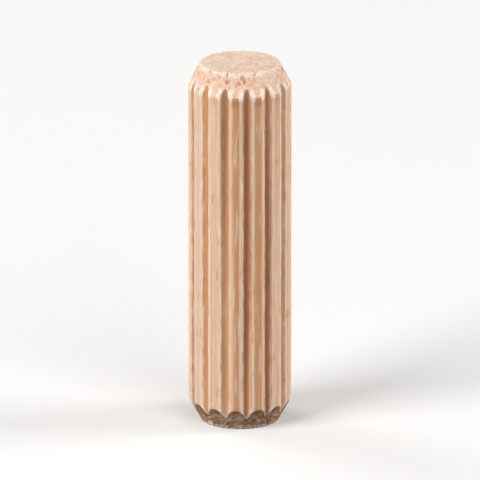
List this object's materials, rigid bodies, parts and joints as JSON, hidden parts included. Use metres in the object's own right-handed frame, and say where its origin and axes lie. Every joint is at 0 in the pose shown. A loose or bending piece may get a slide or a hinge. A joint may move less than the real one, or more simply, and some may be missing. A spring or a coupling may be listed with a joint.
{
  "type": "dowel pin",
  "caption": "Short round wooden pin with straight flutes pressed along it and a cone cut on each end, glued into drilled holes to line up and join two boards.",
  "frame": {"origin": "centre of the lower end face, on which the pin stands", "axes": "+Z along the pin, up; +X through the middle of one flute"},
  "size_m": [0.0082, 0.0082, 0.0295],
  "materials": {
    "beech": "bare pale beech, long grain on the ribs, darker pressed flutes, sawn end grain"
  },
  "bodies": {
    "root": {"dowel_pin": "beech"}
  },
  "joints": []
}
